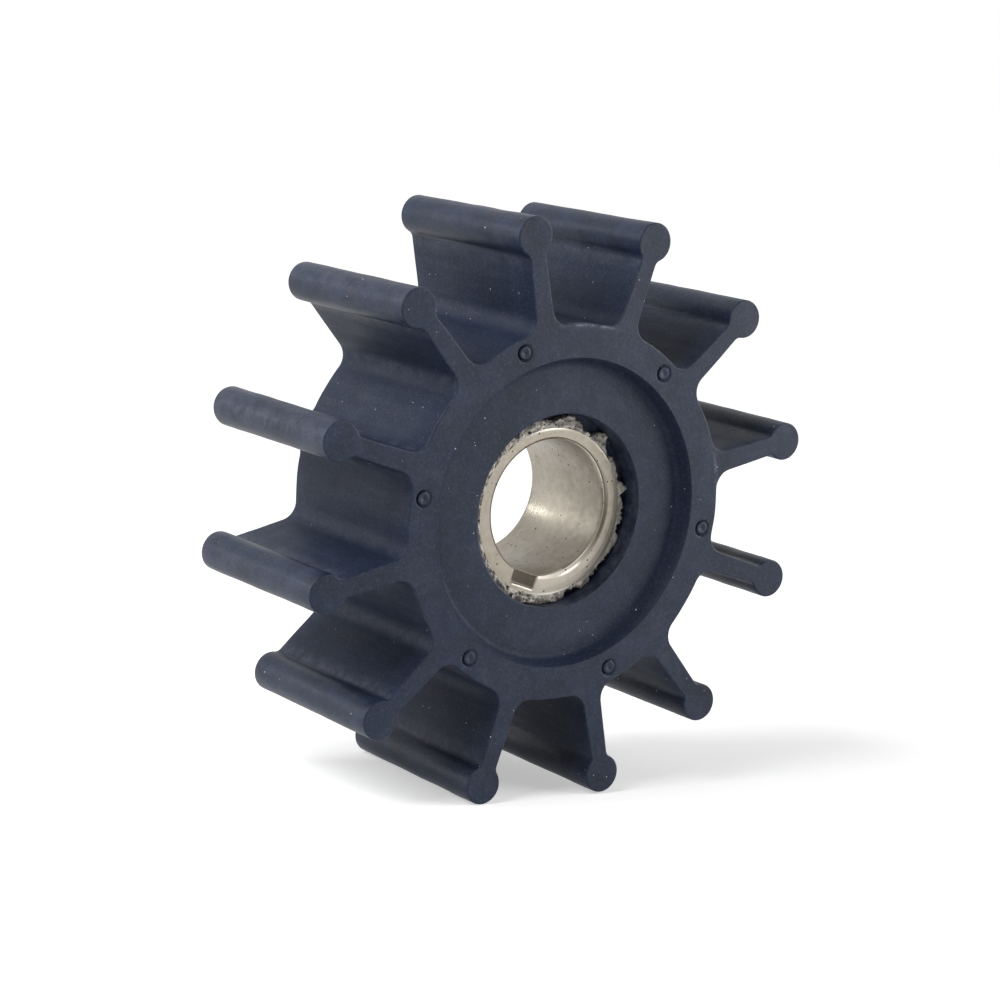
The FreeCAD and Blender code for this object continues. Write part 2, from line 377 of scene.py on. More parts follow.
@dataclass(frozen=True)
class MouldedRubber:
    """Nitrile rubber, compression moulded in a ground steel mould.

    To the eye it is a deep blue-black with a soft satin surface. It has a fine grain, faint drag marks
    along the shaft from coming out of the mould, dark smudges, pale dust under the round tips and specks of
    dust. Painted shade darkens the flanks between the vanes and the dish's corner, and painted light
    brightens the vanes' roots and the front well.
    """

    base: str = "#1c2940"
    deep: str = "#131c2b"
    smudge: str = "#0d1522"
    # The flank colour is painted shade, laid on the flanks between the vanes and in the dish's corner
    flank: str = "#08162c"
    # Pale colour of the dust, which also paints the highlights at the vanes' roots and the light in the front
    # well
    bloom_and_painted_light: str = "#6f707f"
    speck: str = "#aeb3ba"
    ior: float = 1.52
    roughness: float = 0.43
    gloss_spread: float = 0.05
    flank_dullness: float = 0.3
    # The fine grain scatters most of the mirror light that the IOR alone would give
    specular: float = 0.20
    # The mould's ground grain is about 0.05 mm, and is drawn coarser so that it shows
    grain_mm: float = 0.30
    grain_depth_mm: float = 0.02
    dust: float = 0.18
    mottle_mm: float = 3.0
    mottle_depth_mm: float = 0.1
    smudge_mm: float = 7.0
    smudge_cover: float = 0.75
    haze: float = 0.09
    # Drag marks run along the shaft: their pattern is drawn out ten times that way
    drag_mm: float = 1.5
    drag_stretch: float = 0.1
    drag_depth_mm: float = 0.02
    drag_haze: float = 0.03
    patch_mm: float = 2.0
    speck_spacing_mm: float = 1.15
    speck_radius_mm: float = 0.11

    def material(self) -> bpy.types.Material:
        """Builds the rubber's nodes.

        Returns:
            The material, with every pattern on Object coordinates but the pale dust with its painted light
            and the painted shade, which are on the vertices.
        """
        made = bpy.data.materials.new("nitrile_rubber")
        made.use_nodes = True
        tree = made.node_tree
        shader = tree.nodes["Principled BSDF"]
        place = node(tree, "TexCoord").outputs["Object"]

        stretched = node(
            tree, "Mapping", {}, {"Scale": (1.0, self.drag_stretch, 1.0)}, {"Vector": place}
        ).outputs["Vector"]
        mottle, clouds, drag, patchiness, grain = (
            node(
                tree, "TexNoise", {},
                {"Scale": 1 / (size * MM), "Detail": detail, "Roughness": rough, "Distortion": bend},
                {"Vector": where},
            ).outputs["Fac"]
            for where, size, detail, rough, bend in (
                (place, self.mottle_mm, 8.0, 0.72, 0.0), (place, self.smudge_mm, 7.0, 0.66, 0.6),
                (stretched, self.drag_mm, 4.0, 0.6, 0.0), (place, self.patch_mm, 8.0, 0.7, 0.0),
                (place, self.grain_mm, 3.0, 0.6, 0.0),
            )
        )
        body = tinted(tree, linear(self.deep), self.base, mottle, 0.3, 0.7)
        body = tinted(tree, body, self.smudge, clouds, 0.52, 0.70, self.smudge_cover)
        body = tinted(tree, body, self.bloom_and_painted_light, clouds, 0.48, 0.28, self.haze)
        body = tinted(tree, body, self.bloom_and_painted_light, drag, 0.5, 0.78, self.drag_haze)

        patches = node(
            tree, "MapRange", {"clamp": True}, {"From Min": 0.40, "From Max": 0.66}, {"Value": patchiness}
        ).outputs["Result"]
        # Painted shade darkens the flanks between the vanes and the dish's corner
        shade = node(tree, "Attribute", {"attribute_name": "shade"}).outputs["Fac"]
        body = blended(tree, shade, body, linear(self.flank))
        # Pale dust under the tips, with painted highlights at the roots and painted light in the front well,
        # in patches
        dust_and_light_patches = node(
            tree, "Math", {"operation": "MULTIPLY"},
            links={0: node(tree, "Attribute", {"attribute_name": "bloom_and_painted_light"}).outputs["Fac"], 1: patches},
        ).outputs["Value"]
        body = blended(tree, dust_and_light_patches, body, linear(self.bloom_and_painted_light))
        body = tinted(tree, body, self.bloom_and_painted_light, grain, 0.5, 0.75, self.dust)
        specks = scattered_spots(tree, place, self.speck_spacing_mm, self.speck_radius_mm, 0.7)
        body = blended(tree, specks, body, linear(self.speck))

        gloss = node(
            tree, "MapRange", {"clamp": True},
            {"From Min": 0.3, "From Max": 0.7, "To Min": self.roughness + self.gloss_spread,
             "To Max": self.roughness - self.gloss_spread}, {"Value": drag},
        ).outputs["Result"]
        gloss = node(
            tree, "Math", {"operation": "MULTIPLY_ADD"}, {1: self.flank_dullness}, {0: shade, 2: gloss}
        ).outputs["Value"]
        surface = shader.inputs["Normal"]
        for pattern, depth, strength in (
            (mottle, self.mottle_depth_mm, 0.6), (drag, self.drag_depth_mm, 0.5),
            (grain, self.grain_depth_mm, 0.5),
        ):
            bump = node(
                tree, "Bump", {}, {"Strength": strength, "Distance": depth * MM}, {"Height": pattern}
            )
            tree.links.new(bump.outputs["Normal"], surface)
            surface = bump.inputs["Normal"]

        tree.links.new(body, shader.inputs["Base Color"])
        tree.links.new(gloss, shader.inputs["Roughness"])
        shader.inputs["IOR"].default_value = self.ior
        shader.inputs["Specular IOR Level"].default_value = self.specular
        return made


@dataclass(frozen=True)
class TurnedNickel:
    """Bronze, turned on a lathe and dull nickel plated.

    To the eye it is a warm grey with a satin shine, glossier towards the rear of the bore. It has fine
    rings left by the tool on the ends, fine lines round the bore, brown stains, painted highlights on its
    edges and rim, painted light in the keyway and small dark pits where the plating has gone.
    """

    bright: str = "#a59f93"
    dull: str = "#817b70"
    tarnish: str = "#45382d"
    # Colour of the painted highlights on the front end and of the painted light in the keyway
    painted_highlight: str = "#e9e4da"
    pit: str = "#2a2521"
    # The bore grows glossier towards its rear, from one place on the shaft to another
    roughness: float = 0.42
    worn_roughness: float = 0.23
    worn_from: float = -4.0
    worn_to: float = 7.8
    gloss_spread: float = 0.05
    # The tool's feed is about 0.1 mm a turn, and is drawn a little coarser so that it shows
    ring_mm: float = 0.16
    ring_depth_mm: float = 0.012
    cloud_mm: float = 1.2
    cloud_depth_mm: float = 0.03
    pit_spacing_mm: float = 0.7
    pit_radius_mm: float = 0.15
    pit_depth_mm: float = 0.05

    def material(self) -> bpy.types.Material:
        """Builds the metal's nodes.

        Returns:
            The material, with its turning rings on the distance from the shaft axis.
        """
        made = bpy.data.materials.new("nickel_plated_bronze")
        made.use_nodes = True
        tree = made.node_tree
        shader = tree.nodes["Principled BSDF"]
        place = node(tree, "TexCoord").outputs["Object"]

        cloud = node(
            tree, "TexNoise", {}, {"Scale": 1 / (self.cloud_mm * MM), "Detail": 6.0, "Roughness": 0.62},
            {"Vector": place},
        ).outputs["Fac"]
        colour = blended(tree, cloud, linear(self.dull), linear(self.bright))
        stained = node(tree, "Attribute", {"attribute_name": "tarnish"}).outputs["Fac"]
        colour = blended(tree, stained, colour, linear(self.tarnish))
        # Painted highlights on the front end's edges and rim, and painted light in the keyway
        highlighted = node(tree, "Attribute", {"attribute_name": "painted_highlight"}).outputs["Fac"]
        colour = blended(tree, highlighted, colour, linear(self.painted_highlight))

        pitted = scattered_spots(tree, place, self.pit_spacing_mm, self.pit_radius_mm, 0.5)
        colour = blended(tree, pitted, colour, linear(self.pit))

        part = node(tree, "SeparateXYZ", links={"Vector": place})
        across = node(tree, "CombineXYZ", links={"X": part.outputs["X"], "Y": part.outputs["Z"]})
        reach = node(
            tree, "VectorMath", {"operation": "LENGTH"}, links={0: across.outputs["Vector"]}
        ).outputs["Value"]
        around = node(tree, "CombineXYZ", links={"X": reach, "Y": part.outputs["Y"]})
        rings = node(
            tree, "TexNoise", {"noise_dimensions": "2D"},
            {"Scale": 1 / (self.ring_mm * MM), "Detail": 2.0, "Roughness": 0.5},
            {"Vector": around.outputs["Vector"]},
        ).outputs["Fac"]
        turned = node(
            tree, "Bump", {}, {"Strength": 0.35, "Distance": self.ring_depth_mm * MM}, {"Height": rings}
        ).outputs["Normal"]
        uneven = node(
            tree, "Bump", {}, {"Strength": 0.5, "Distance": self.cloud_depth_mm * MM},
            {"Height": cloud, "Normal": turned},
        ).outputs["Normal"]
        sunk = node(
            tree, "Bump", {"invert": True}, {"Strength": 0.6, "Distance": self.pit_depth_mm * MM},
            {"Height": pitted, "Normal": uneven},
        ).outputs["Normal"]
        gloss = node(
            tree, "MapRange", {"clamp": True, "interpolation_type": "SMOOTHSTEP"},
            {"From Min": self.worn_from * MM, "From Max": self.worn_to * MM,
             "To Min": self.roughness, "To Max": self.worn_roughness}, {"Value": part.outputs["Y"]},
        ).outputs["Result"]
        duller = node(
            tree, "MapRange", {"clamp": True},
            {"From Min": 0.3, "From Max": 0.7, "To Min": self.gloss_spread, "To Max": -self.gloss_spread},
            {"Value": cloud},
        ).outputs["Result"]
        gloss = node(tree, "Math", {"operation": "ADD"}, links={0: gloss, 1: duller}).outputs["Value"]

        tree.links.new(colour, shader.inputs["Base Color"])
        tree.links.new(gloss, shader.inputs["Roughness"])
        tree.links.new(sunk, shader.inputs["Normal"])
        shader.inputs["Metallic"].default_value = 1.0
        return made


@dataclass(frozen=True)
class BondingCompound:
    """Rubber-to-metal bonding compound, squeezed out in moulding and dried.

    To the eye it is a dull, pale warm grey crust with lighter chips and small dark holes.
    """

    grey: str = "#86827c"
    pale: str = "#d3cdc2"
    hole: str = "#1f1d1e"
    ior: float = 1.5
    roughness: float = 0.7
    chip_mm: float = 0.7
    chip_depth_mm: float = 0.08
    hole_spacing_mm: float = 0.42
    hole_radius_mm: float = 0.18
    hole_depth_mm: float = 0.1

    def material(self) -> bpy.types.Material:
        """Builds the crust's nodes.

        Returns:
            The material, with its patterns drawn out round the bushing by the places on the vertices.
        """
        made = bpy.data.materials.new("bonding_compound")
        made.use_nodes = True
        tree = made.node_tree
        shader = tree.nodes["Principled BSDF"]
        place = node(tree, "Attribute", {"attribute_name": "drawn_out"}).outputs["Vector"]
        chips = node(
            tree, "TexNoise", {}, {"Scale": 1 / self.chip_mm, "Detail": 5.0, "Roughness": 0.66},
            {"Vector": place},
        ).outputs["Fac"]
        colour = tinted(tree, linear(self.grey), self.pale, chips, 0.38, 0.64)
        cells = node(
            tree, "TexVoronoi", {}, {"Scale": 1 / self.hole_spacing_mm, "Randomness": 1.0},
            {"Vector": place},
        )
        pick = node(tree, "SeparateColor", links={"Color": cells.outputs["Color"]})
        size = node(
            tree, "Math", {"operation": "MULTIPLY"},
            links={0: node(tree, "Attribute", {"attribute_name": "pitted"}).outputs["Fac"],
                   1: pick.outputs["Green"]},
        ).outputs["Value"]
        edge = node(
            tree, "Math", {"operation": "MULTIPLY"},
            {1: self.hole_radius_mm / self.hole_spacing_mm}, {0: size},
        ).outputs["Value"]
        inside = node(
            tree, "Math", {"operation": "SUBTRACT"}, links={0: edge, 1: cells.outputs["Distance"]}
        ).outputs["Value"]
        holes = node(
            tree, "MapRange", {"clamp": True}, {"From Min": 0.0, "From Max": 0.05}, {"Value": inside}
        ).outputs["Result"]
        colour = blended(tree, holes, colour, linear(self.hole))
        rough = node(
            tree, "Bump", {}, {"Strength": 0.5, "Distance": self.chip_depth_mm * MM}, {"Height": chips}
        ).outputs["Normal"]
        sunk = node(
            tree, "Bump", {"invert": True}, {"Strength": 0.8, "Distance": self.hole_depth_mm * MM},
            {"Height": holes, "Normal": rough},
        ).outputs["Normal"]
        tree.links.new(colour, shader.inputs["Base Color"])
        tree.links.new(sunk, shader.inputs["Normal"])
        shader.inputs["Roughness"].default_value = self.roughness
        shader.inputs["IOR"].default_value = self.ior
        return made


def dress(piece: bpy.types.Object, finish: Any, stands_for: str) -> bpy.types.Object:
    """Gives a piece its material and its place in the frame.

    Args:
        piece: The finished piece.
        finish: Finish whose material it gets.
        stands_for: CAD node that it replaces.

    Returns:
        The piece.
    """
    piece.data.materials.append(finish.material())
    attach(piece, "root")
    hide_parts(stands_for)
    return piece


# The pieces


@dataclass
class ImpellerBody:
    """Rubber hub and vanes, moulded in one piece."""

    hub_radius: float = 25.9
    width: float = 28.575
    vane_count: int = 12
    first_vane: float = -15.0
    # Vanes by number, and the degrees that each leans by
    vane_set: dict[int, float] = field(default_factory=lambda: {6: 1.0, 7: -0.9, 8: -0.5})
    tip_radius: float = 41.275
    bulb_radius: float = 2.7
    root_thickness: float = 3.0
    neck_thickness: float = 2.6
    root_fillet: float = 2.5
    neck_fillet: float = 1.2
    edge_round: float = 0.18
    # Steps of the arcs at a vane's root, neck and tip, of its flank, of a rounded edge and of the width
    root_steps: int = 8
    neck_steps: int = 6
    tip_steps: int = 18
    flank_steps: int = 4
    edge_steps: int = 4
    width_steps: int = 13
    dish_radius: float = 21.4
    dish_depth: float = 2.1
    dish_shoulder: float = 0.06
    # The drafted wall's line passes this far inside the dish's edge at the same depth below the face
    dish_ease: float = 0.2
    dish_draft: float = 20.0
    dish_foot: float = 0.8
    well_radius: float = 13.5
    well_edge: float = 0.12
    well_offset: float = 0.2
    well_clock: float = 120.0
    well_depths: dict[End, float] = field(default_factory=lambda: {End.FRONT: 6.0, End.REAR: 7.9})
    seat_radius: float = 11.77
    seat_offset: float = 0.68
    seat_clock: float = 151.0
    mark_clock: float = 35.7
    mark_circle: float = 23.9
    mark_count: int = 6
    mark_radius: float = 1.25
    mark_groove: float = 0.45
    mark_depth: float = 0.35
    mark_wall: float = 0.16
    # Shares of the marks' depth: of the button, of its dimple, and of the groove and its lean to the left
    button_share: float = 0.15
    dimple_share: float = 0.3
    dimple_radius: float = 0.35
    groove_share: float = 0.75
    groove_lean: float = 0.65
    # Pale worn places of the hub's front edge: at the top and on the right
    worn_edges: tuple[RingMark, ...] = (
        RingMark(25.8, 0.2, 0.0, 8.5, 2.0, power_along=2), RingMark(25.8, 0.2, 76.0, 5.0, 1.2, power_along=2),
    )
    # Strength of the pale dust and painted light on the vanes by number, where it isn't the plain one
    pale_by_vane: dict[int, float] = field(default_factory=lambda: {4: 0.9, 9: 0.8, 10: 0.5, 11: 1.0, 12: 0.8})
    plain_pale: float = 0.3
    # The flanks' painted shade ends at this radius, and painted shade darkens the dish's shoulder on its left
    # side
    flank_end: float = 36.2
    shoulder_shade: RingMark = RingMark(21.4, 0.15, 260.0, 75.0, 0.9)
    # Waviness of the vanes and of the hub's side: its middle wavelength and its height
    wave_mm: float = 6.0
    wave_height: float = 0.02
    finish: MouldedRubber = MouldedRubber()

    def vane_clocks(self) -> np.ndarray:
        """Clock angles of the vanes, with the set that three of them have taken."""
        even = self.first_vane + 360.0 / self.vane_count * np.arange(self.vane_count)
        lean = np.array([self.vane_set.get(k + 1, 0.0) for k in range(self.vane_count)])
        return even + lean

    def half_vane(self) -> tuple[np.ndarray, np.ndarray]:
        """Half a vane's outline in its own plane, along and across it, from the hub to the tip.

        A fillet's centre lies one fillet radius off the straight flank and off the circle that it meets,
        which is the hub's below and the round tip's above. The line between the two fillets is straight.

        Returns:
            The points, and their unit normals that point out of the rubber.
        """
        root = np.array((self.hub_radius, self.root_thickness / 2))
        neck = np.array((self.tip_radius - 2 * self.bulb_radius, self.neck_thickness / 2))
        bulb = np.array((self.tip_radius - self.bulb_radius, 0.0))
        flank = (neck - root) / np.hypot(*(neck - root))
        side = np.array((-flank[1], flank[0]))

        def fillet_centre(fillet: float, circle: np.ndarray, radius: float, outward: bool) -> np.ndarray:
            """Crossing of the line one fillet off the flank and the circle one fillet off the given one."""
            start = root + side * fillet - circle
            along = start @ flank
            reach = math.sqrt(along ** 2 - start @ start + (radius + fillet) ** 2)
            return circle + start + flank * (reach - along if outward else -reach - along)

        low = fillet_centre(self.root_fillet, np.zeros(2), self.hub_radius, True)
        high = fillet_centre(self.neck_fillet, bulb, self.bulb_radius, False)
        hub_point = low * self.hub_radius / (self.hub_radius + self.root_fillet)
        bulb_point = bulb + (high - bulb) * self.bulb_radius / (self.bulb_radius + self.neck_fillet)
        foot, top = low - side * self.root_fillet, high - side * self.neck_fillet
        first, first_way = arc(low, hub_point, foot, self.root_steps)
        third, third_way = arc(high, top, bulb_point, self.neck_steps)
        last, last_way = arc(bulb, bulb_point, bulb + (self.bulb_radius, 0.0), self.tip_steps)
        straight = foot + (top - foot) * np.linspace(0, 1, self.flank_steps + 1)[1:-1, None]
        points = np.concatenate((first, straight, third[:-1], last))
        sideways = np.tile(side, (len(straight), 1))
        normals = np.concatenate((-first_way, sideways, -third_way[:-1], last_way))
        return points, normals

    def across_samples(self) -> np.ndarray:
        """Places across a vane from -1 to 1, fine on the side where the mould marks reach its root."""
        fine = -np.concatenate((np.linspace(1, 0.985, 2), np.linspace(0.95, 0.56, 9)))
        coarse = np.array((-0.3, 0.0, 0.3, 0.6, 0.85, 0.96, 1.0))
        return np.concatenate((fine, coarse))

    def gap_samples(self) -> np.ndarray:
        """Places along a hub arc from one vane to the next, from 0 to 1, fine where the mould marks are."""
        return np.concatenate((np.linspace(0, 0.58, 9)[1:], np.linspace(0.6, 1, 26)[:-1]))

    def laid_out(self, half: np.ndarray, hand: int) -> np.ndarray:
        """Lays a half outline on each vane of the hub, on one side of its middle line.

        Args:
            half: Points along and across one vane.
            hand: 1 for the side of larger clock angles, -1 for the other.

        Returns:
            Points in x and z for each vane.
        """
        return np.stack(off_line(half[:, 0], hand * half[:, 1], self.vane_clocks()[:, None]), axis=-1)

    def gap_clocks(self) -> np.ndarray:
        """Clock angles of the hub arcs' inner points, one row for each gap between vanes."""
        points, _ = self.half_vane()
        spread = math.degrees(math.atan2(points[0, 1], points[0, 0]))
        clocks = self.vane_clocks()
        following = np.append(clocks[1:], clocks[0] + 360.0)
        start, end = clocks + spread, following - spread
        return start[:, None] + (end - start)[:, None] * self.gap_samples()

    def outline(self, inset: float) -> np.ndarray:
        """The section's whole outline in x and z, moved into the rubber along its normals.

        Args:
            inset: Distance that it is moved in.

        Returns:
            A closed run of points in order of growing clock angle, without its first point repeated.
        """
        points, normals = self.half_vane()
        half = points - inset * normals
        rise = self.laid_out(half, -1)
        fall = self.laid_out(half[-2::-1], 1)
        hub = on_clock(self.gap_clocks(), self.hub_radius - inset, 0.0)[..., (0, 2)]
        return np.concatenate((rise, fall, hub), axis=1).reshape(-1, 2)

    def side_wall(self) -> np.ndarray:
        """The wall round the vanes and the hub, from the front face to the rear one.

        Each row is the outline at one place across the width. Near a face it moves in by the edge radius
        times one less the sine of the rounding's angle, while y moves by that radius times one less the
        cosine.
        """
        angle = np.linspace(0, np.pi / 2, self.edge_steps + 1)
        inset = self.edge_round * (1 - np.sin(angle))
        depth = self.edge_round * (1 - np.cos(angle))
        middle = np.linspace(self.edge_round, self.width - self.edge_round, self.width_steps + 1)[1:-1]
        insets = np.concatenate((inset, 0 * middle, inset[::-1]))
        depths = np.concatenate((depth, middle, self.width - depth[::-1]))
        rows = [np.insert(self.outline(i), 1, d - self.width / 2, axis=1) for i, d in zip(insets, depths)]
        return np.stack(rows)

    def face_clocks(self) -> np.ndarray:
        """Clock angles of all radial lines on a hub face: across each vane root, then along each gap.

        Across a root, an angle is the arcsine of the place times the sine of the root's half angle.
        """
        points, _ = self.half_vane()
        half_angle = math.atan2(points[0, 1], points[0, 0])
        root = np.degrees(np.arcsin(self.across_samples() * math.sin(half_angle)))
        roots = self.vane_clocks()[:, None] + root
        return np.concatenate((roots, self.gap_clocks()), axis=1).ravel()

    def vane_faces(self, end: End) -> list[np.ndarray]:
        """The flat ends of the vanes, one grid each, from the hub circle to the tip.

        A row joins the two sides of the outline straight across, and the rows of the root ease from the
        hub's circle, where along = root of (radius squared less across squared), to a straight line.

        Args:
            end: Hub face that they lie in.

        Returns:
            One grid of points for each vane.
        """
        points, normals = self.half_vane()
        half = points - self.edge_round * normals
        across = half[:, 1, None] * self.across_samples()
        ease = np.clip(1 - np.arange(len(half)) / self.root_steps, 0, 1)[:, None]
        hub = np.sqrt((self.hub_radius - self.edge_round) ** 2 - across[0] ** 2)
        along = half[:, 0, None] + ease * (hub - half[0, 0])
        x, z = off_line(along, across, self.vane_clocks()[:, None, None])
        y = np.full_like(x, end.value * self.width / 2)
        return list(np.stack((x, y, z), axis=-1))

    def mark_relief(self, clock: np.ndarray, radius: np.ndarray) -> np.ndarray:
        """Depth of the six round mould marks in the front face.

        With x from 0 to 1 through a soft wall, the depth follows 3 x squared less 2 x cubed. The ring
        groove has such a wall on both sides. It is deepest at its left, and less deep by the way to the
        right over its radius. The button inside it lies a little low, with a bell-shaped dimple.

        Args:
            clock: Clock angles of the points.
            radius: Their distances from the shaft axis.

        Returns:
            How far each point lies below the face.
        """
        points = on_clock(clock, radius, 0.0)
        clocks = self.mark_clock + 360.0 / self.mark_count * np.arange(self.mark_count)
        centres = on_clock(clocks, self.mark_circle, 0.0)
        apart = points[..., None, :] - centres
        spans = np.linalg.norm(apart, axis=-1)
        own = spans.argmin(axis=-1)[..., None]
        off = np.take_along_axis(spans, own, axis=-1)[..., 0]
        right = np.take_along_axis(apart[..., 0], own, axis=-1)[..., 0] / self.mark_radius
        outer = np.clip((self.mark_radius - off) / self.mark_wall, 0, 1)
        inner = np.clip((off - self.mark_radius + self.mark_groove) / self.mark_wall, 0, 1)
        outer, inner = (3 * x ** 2 - 2 * x ** 3 for x in (outer, inner))
        dimple = self.dimple_share * hump(off, 0.0, self.dimple_radius)
        groove = inner * (self.groove_share - self.groove_lean * np.clip(right, -1, 1))
        return self.mark_depth * outer * (self.button_share + dimple + groove)

    def face_rows(self, end: End) -> list[np.ndarray]:
        """Rows of a hub face, its dish and its well, from the hub's edge in to the bushing's seat.

        A row is a circle with the radius and depth of one point of the profile. The profile runs along
        the face, round the dish's shoulder, down its drafted wall, round the hollow foot, along the floor
        and over the rounded edge of the well to its floor. The last circle is the seat, off the shaft axis.
        The rows lie close across the mould marks, and one more lies close to each edge, which keeps the
        shading of the flats plain.

        Args:
            end: Hub face.

        Returns:
            One row of points for each place on the profile.
        """
        clock = self.face_clocks()
        outer = self.hub_radius - self.edge_round
        across_marks, row_gap = self.mark_radius + 0.15, 0.1
        marks = np.arange(
            self.mark_circle + across_marks, self.mark_circle - across_marks - row_gap / 2, -row_gap
        )
        fine = np.concatenate((marks, self.dish_radius + np.array((0.7, 0.2, 0.02))))
        plain = self.dish_radius + np.array((2.2, 0.02))
        face = np.append((outer, outer - 0.12), fine if end is End.FRONT else plain)
        draft = math.radians(self.dish_draft)
        slope = np.array((-math.sin(draft), math.cos(draft)))
        towards_rubber = np.array((math.cos(draft), math.sin(draft)))
        edge = np.array((self.dish_radius, self.dish_shoulder))
        shoulder, _ = arc(
            edge, np.array((self.dish_radius, 0.0)), edge - self.dish_shoulder * towards_rubber, 3
        )
        top = np.array((self.dish_radius - self.dish_ease, self.dish_ease))
        foot_depth = self.dish_depth - self.dish_foot * (1 - math.sin(draft))
        wall_foot = top + slope * (foot_depth - self.dish_ease) / slope[1]
        hollow = wall_foot - self.dish_foot * towards_rubber
        foot, _ = arc(hollow, wall_foot, np.array((hollow[0], self.dish_depth)), 6)
        wall = shoulder[-1] + (wall_foot - shoulder[-1]) * np.linspace(0, 1, 4)[1:-1, None]
        brink = self.well_radius + self.well_edge
        level = np.linspace(hollow[0] - 0.15, brink + 0.1, 4)
        floor = np.stack((level, np.full_like(level, self.dish_depth)), axis=-1)
        lip, _ = arc(
            np.array((brink, self.dish_depth + self.well_edge)), np.array((brink, self.dish_depth)),
            np.array((self.well_radius, self.dish_depth + self.well_edge)), 3,
        )
        deep = self.well_depths[end]
        drop = np.array(((self.well_radius, self.dish_depth + 0.5), (self.well_radius, deep - 0.1),
                         (self.well_radius, deep), (self.well_radius - 0.1, deep)))
        profile = np.concatenate((shoulder, wall, foot, floor, lip, drop))
        relief = self.mark_relief(clock, face[:, None]) if end is End.FRONT else np.zeros((len(face), 1))
        rows = [on_clock(clock, r, end.value * (self.width / 2 - d)) for r, d in zip(face, relief)]
        rows += [on_clock(clock, r, end.value * (self.width / 2 - d)) for r, d in profile]
        off = on_clock(np.float64(self.well_clock), self.well_offset, 0.0)
        in_well = len(lip) + len(drop) - 1
        rows[-in_well:] = [row + off for row in rows[-in_well:]]
        seat = on_clock(clock, self.seat_radius, end.value * (self.width / 2 - deep))
        shift = on_clock(np.float64(self.seat_clock), self.seat_offset, 0.0)
        return rows + [seat + shift]

    def bloom_and_painted_light(self, points: np.ndarray) -> np.ndarray:
        """How strongly the pale colour shows, as dust and as painted light.

        Between the hub faces it is dust in a hump over the fillet under each round tip, a painted highlight
        in a hump over the fillet at each root, and a thin paleness on the tips. Some vanes have more of it
        than the rest. It shows at the worn places of the hub's front edge, and the deep front well has an
        even part of it as painted light.

        Args:
            points: Points with x, y and z in the last axis.

        Returns:
            One amount for each point, over 1 where even the thin patches are covered.
        """
        clock, radius = clock_and_radius(points)
        turns = np.abs((clock[:, None] - self.vane_clocks() + 180) % 360 - 180)
        # Strengths by vane scale the dust under the tips and the painted highlight at the roots alike
        dust = np.array([self.pale_by_vane.get(k + 1, self.plain_pale) for k in range(self.vane_count)])
        turn = np.radians(turns.min(axis=1))
        along, across = radius * np.cos(turn), radius * np.sin(turn)
        neck = self.tip_radius - 2 * self.bulb_radius - 0.5
        root_along, root_across = self.hub_radius + 1.3, 2.2
        under_tip = 0.6 * hump(along, neck, 0.45) * (across < 2.2)
        # A painted highlight along the fillet at each root
        root_highlight = 0.35 * hump(along, root_along, 0.7) * hump(across, root_across, 0.7)
        on_tip = 0.2 * hump(radius, self.tip_radius, 0.6)
        amount = self.between_faces(points) * dust[turns.argmin(axis=1)] * (under_tip + root_highlight + on_tip)
        from_front = points[:, 1] + self.width / 2
        worn = sum(edge.amount(clock, radius) for edge in self.worn_edges) * (from_front < 0.7)
        # Painted light that lifts the deep front well
        well = (radius < self.well_radius + 0.4) * (points[:, 1] < 0) * (from_front > self.dish_depth + 0.1)
        return np.clip(amount + worn + 0.35 * well, 0, 2)

    def between_faces(self, points: np.ndarray) -> np.ndarray:
        """Whether each point lies between the hub faces and clear of them."""
        return np.abs(points[:, 1]) < self.width / 2 - 0.9 * self.edge_round

    def shade(self, points: np.ndarray) -> np.ndarray:
        """How strongly painted shade darkens and dulls the flanks of the vanes and the dish's corner.

        On the sides of the vanes and the hub, below the round tips, it is an even part and an uneven
        one, which grows towards the front edge as e to the minus the way from it over 5 mm. In the dish it
        is a hump over the foot of the wall, and a narrow one over the shoulder on the left.

        Args:
            points: Points with x, y and z in the last axis.

        Returns:
            One amount from 0 to 1 for each point.
        """
        clock, radius = clock_and_radius(points)
        from_front = points[:, 1] + self.width / 2
        # Painted shade over the dish's hollow foot and over its shoulder on the left
        foot = 0.8 * hump(radius, self.dish_radius - 0.8, 0.8)
        dish = np.where(from_front > 0.02, foot, 0) + self.shoulder_shade.amount(clock, radius)
        # Painted shade on the flanks between the vanes, stronger towards the front edge
        flank = np.clip((self.flank_end - radius) / 1.2, 0, 1) * (radius > self.hub_radius - 0.5)
        patches = np.clip(0.5 + 0.5 * unevenness(points, 7.0, 21), 0, 1)
        flank = flank * self.between_faces(points) * (0.5 + 0.5 * patches * np.exp(-from_front / 5))
        return np.clip(np.where(radius < self.hub_radius - 1, dish, flank), 0, 0.9)

    def waviness(self, points: np.ndarray) -> np.ndarray:
        """How far the rubber's surface strays from its true place, in x and z, beyond the hub's edge."""
        _, radius = clock_and_radius(points)
        out = np.clip((radius - self.hub_radius + 0.8) / 0.6, 0, 1)[:, None]
        stray = np.stack([unevenness(points, self.wave_mm, seed) for seed in (31, 32)], axis=-1)
        return np.insert(self.wave_height * out * stray, 1, 0.0, axis=1)

    def build(self) -> bpy.types.Object:
        """Builds the moulding and dresses it in rubber.

        Returns:
            The finished piece.
        """
        skin = Skin()
        skin.add(self.side_wall(), closed=True)
        skin.add(np.stack(self.face_rows(End.FRONT) + self.face_rows(End.REAR)[::-1]), closed=True)
        for end in End:
            for face in self.vane_faces(end):
                skin.add(face)
        skin.points = [points + self.waviness(points) for points in skin.points]
        piece = skin.piece("rubber_moulding", 50.0)
        marked(piece, "bloom_and_painted_light", self.bloom_and_painted_light)
        marked(piece, "shade", self.shade)
        return dress(piece, self.finish, "impeller_body")


